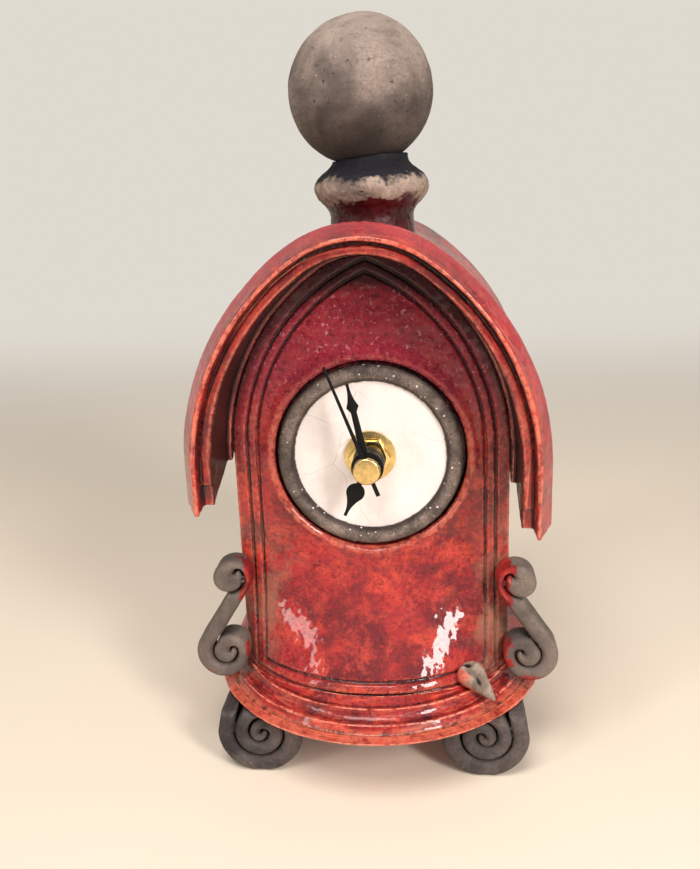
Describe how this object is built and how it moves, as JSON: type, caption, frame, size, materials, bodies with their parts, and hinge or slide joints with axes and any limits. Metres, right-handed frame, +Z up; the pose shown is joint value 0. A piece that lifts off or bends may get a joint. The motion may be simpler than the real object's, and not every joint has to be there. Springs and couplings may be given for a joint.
{
  "type": "mantel clock",
  "caption": "Hand-built ceramic mantel clock: arched case under a projecting stepped hood, ball finial on a thrown neck, rolled scrolls and feet, crackled dial, quartz movement.",
  "frame": {"origin": "on the table under the middle of the clock's bounding box", "axes": "+X to the clock's left-to-right as seen from the front, +Y to the back, +Z up"},
  "size_m": [0.112, 0.093, 0.2223],
  "materials": {
    "red_glaze": "glossy red glaze, mottled with smoke",
    "neck_glaze": "red glaze over a rough unglazed bulge",
    "smoked_clay": "unglazed, smoked, matt",
    "scroll_clay": "unglazed, smoked, with red glaze on the inner flanks",
    "bone_clay": "unglazed with traces of glaze",
    "white_crackle": "glossy crackled glaze",
    "black_metal": "satin",
    "brass": "satin",
    "black_rubber": "matt",
    "case_plastic": "fine texture",
    "works_plastic": "moulded",
    "spring_steel": "satin",
    "copper_wire": "wound wire",
    "board_green": "lacquered",
    "cell_jacket": "printed jacket, unmarked"
  },
  "bodies": {
    "case": {"front_panel": "red_glaze", "hood_moulding": "red_glaze", "roof_vault": "red_glaze", "side_wall_left": "red_glaze", "side_wall_right": "red_glaze", "back_wall": "red_glaze", "base_plate": "red_glaze", "base_moulding": "red_glaze", "finial_neck": "neck_glaze", "finial_ball": "smoked_clay", "foot_front_left": "smoked_clay", "foot_front_right": "smoked_clay", "foot_back_left": "smoked_clay", "foot_back_right": "smoked_clay", "dial_ring": "smoked_clay", "scroll_left": "scroll_clay", "scroll_right": "scroll_clay", "bird_skull": "bone_clay", "dial_disc": "white_crackle", "brass_washer": "brass", "hex_nut": "brass", "threaded_bush": "brass", "rubber_washer": "black_rubber", "movement_case": "case_plastic", "movement_cover": "case_plastic", "gear_plate": "works_plastic", "stator": "spring_steel", "contact_negative": "spring_steel", "contact_positive": "spring_steel", "quartz_crystal": "spring_steel", "coil": "copper_wire", "circuit_board": "board_green"},
    "second": {"second_wheel": "works_plastic", "second_hand": "black_metal", "second_hand_cap": "brass"},
    "third": {"third_wheel": "works_plastic"},
    "centre": {"centre_wheel": "works_plastic"},
    "intermediate": {"intermediate_wheel": "works_plastic"},
    "rotor": {"rotor": "works_plastic"},
    "minute": {"cannon_pinion": "works_plastic", "minute_hand": "black_metal"},
    "motion": {"motion_wheel": "works_plastic"},
    "hour": {"hour_wheel": "works_plastic", "hour_hand": "black_metal"},
    "setting": {"setting_knob": "case_plastic"},
    "battery": {"battery_cell": "cell_jacket"}
  },
  "joints": [
    {"name": "second_spin", "type": "hinge", "parent": "case", "child": "second", "pos_m": [0, 0, 0.0959], "axis": [0, 1, 0], "continuous": true},
    {"name": "third_spin", "type": "hinge", "parent": "case", "child": "third", "pos_m": [-0.0106, 0, 0.10202], "axis": [0, 1, 0], "continuous": true},
    {"name": "centre_spin", "type": "hinge", "parent": "case", "child": "centre", "pos_m": [0, 0, 0.0959], "axis": [0, 1, 0], "continuous": true},
    {"name": "intermediate_spin", "type": "hinge", "parent": "case", "child": "intermediate", "pos_m": [0.00648, 0, 0.10712], "axis": [0, 1, 0], "continuous": true},
    {"name": "rotor_spin", "type": "hinge", "parent": "case", "child": "rotor", "pos_m": [0.01595, 0, 0.11057], "axis": [0, 1, 0], "continuous": true},
    {"name": "minute_spin", "type": "hinge", "parent": "case", "child": "minute", "pos_m": [0, 0, 0.0959], "axis": [0, 1, 0], "continuous": true},
    {"name": "motion_spin", "type": "hinge", "parent": "case", "child": "motion", "pos_m": [-0.00812, 0, 0.09294], "axis": [0, 1, 0], "continuous": true},
    {"name": "hour_spin", "type": "hinge", "parent": "case", "child": "hour", "pos_m": [0, 0, 0.0959], "axis": [0, 1, 0], "continuous": true},
    {"name": "setting_spin", "type": "hinge", "parent": "case", "child": "setting", "pos_m": [-0.01875, 0, 0.09107], "axis": [0, 1, 0], "continuous": true},
    {"name": "battery_slide", "type": "slide", "parent": "case", "child": "battery", "axis": [0, 1, 0], "range_m": [0, 0.046]}
  ],
  "couplings": [
    {"joint": "third_spin", "follows": "second_spin", "ratio": -0.13333},
    {"joint": "centre_spin", "follows": "second_spin", "ratio": 0.016667},
    {"joint": "intermediate_spin", "follows": "second_spin", "ratio": -5},
    {"joint": "rotor_spin", "follows": "second_spin", "ratio": 30},
    {"joint": "motion_spin", "follows": "minute_spin", "ratio": -0.33333},
    {"joint": "hour_spin", "follows": "minute_spin", "ratio": 0.083333},
    {"joint": "setting_spin", "follows": "minute_spin", "ratio": 0.5}
  ]
}
